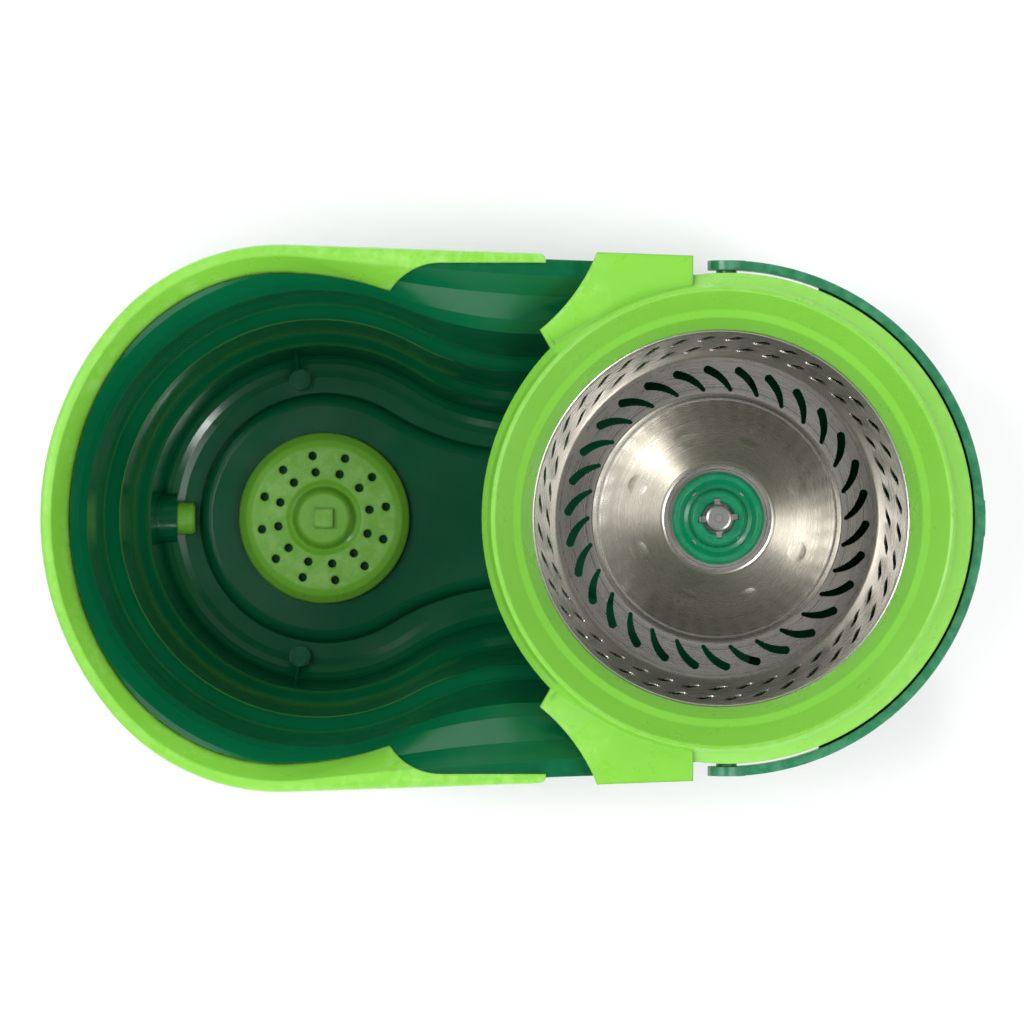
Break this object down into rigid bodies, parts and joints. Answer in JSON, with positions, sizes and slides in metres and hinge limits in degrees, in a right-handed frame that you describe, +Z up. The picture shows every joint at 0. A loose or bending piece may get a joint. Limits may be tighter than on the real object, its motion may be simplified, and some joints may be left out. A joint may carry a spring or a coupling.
{
  "type": "spin mop bucket",
  "caption": "Two-bowl mop bucket with a spinning steel wringer basket, a turning wash disc, a swing handle and a drain plug.",
  "frame": {"origin": "on the floor under the middle of the bucket's bounding box", "axes": "+Z up, +X towards the spinner, -X towards the wash bowl and the drain, +Y to the left of someone looking along +X"},
  "size_m": [0.4731, 0.274, 0.256],
  "materials": {
    "tub_plastic": "smooth deep green moulding",
    "lime_plastic": "smooth lime green moulding",
    "handle_plastic": "smooth green moulding",
    "hub_plastic": "smooth mid green moulding",
    "washer_plastic": "white low-friction plastic",
    "basket_steel": "spun stainless sheet",
    "spindle_steel": "turned steel",
    "bearing_steel": "polished bearing steel",
    "screw_steel": "zinc-plated screw",
    "foot_rubber": "black rubber"
  },
  "bodies": {
    "bucket": {"tub": "tub_plastic", "rim_cap": "lime_plastic", "spinner_collar": "lime_plastic", "spindle_column": "hub_plastic", "column_screws": "screw_steel", "upper_bearing_outer_ring": "bearing_steel", "lower_bearing_outer_ring": "bearing_steel", "disc_axle": "spindle_steel", "disc_washer": "washer_plastic", "foot_wash_left": "foot_rubber", "foot_wash_right": "foot_rubber", "foot_spin_left": "foot_rubber", "foot_spin_right": "foot_rubber", "foot_screws": "screw_steel"},
    "spinner": {"basket_wall": "basket_steel", "basket_floor": "basket_steel", "basket_hub": "hub_plastic", "hub_clamp": "hub_plastic", "hub_screws": "screw_steel", "spindle": "spindle_steel", "upper_bearing_inner_ring": "bearing_steel", "upper_bearing_balls": "bearing_steel", "lower_bearing_inner_ring": "bearing_steel", "lower_bearing_balls": "bearing_steel", "bearing_spacer": "spindle_steel", "spindle_clip": "spindle_steel"},
    "handle": {"carry_handle": "handle_plastic"},
    "wash_plate": {"wash_disc": "lime_plastic"},
    "plug": {"drain_plug": "lime_plastic", "drain_gasket": "foot_rubber"}
  },
  "joints": [
    {"name": "basket_spin", "type": "hinge", "parent": "bucket", "child": "spinner", "pos_m": [0.105, 0, 0.15], "axis": [0, 0, 1], "continuous": true},
    {"name": "handle_swing", "type": "hinge", "parent": "bucket", "child": "handle", "pos_m": [0.1075, 0, 0.229], "axis": [0, -1, 0], "range_deg": [0, 105]},
    {"name": "wash_disc_spin", "type": "hinge", "parent": "bucket", "child": "wash_plate", "pos_m": [-0.099, 0, 0.021], "axis": [0, 0, 1], "continuous": true},
    {"name": "drain_plug_pull", "type": "slide", "parent": "bucket", "child": "plug", "axis": [-1, 0, 0], "range_m": [0, 0.04]}
  ]
}
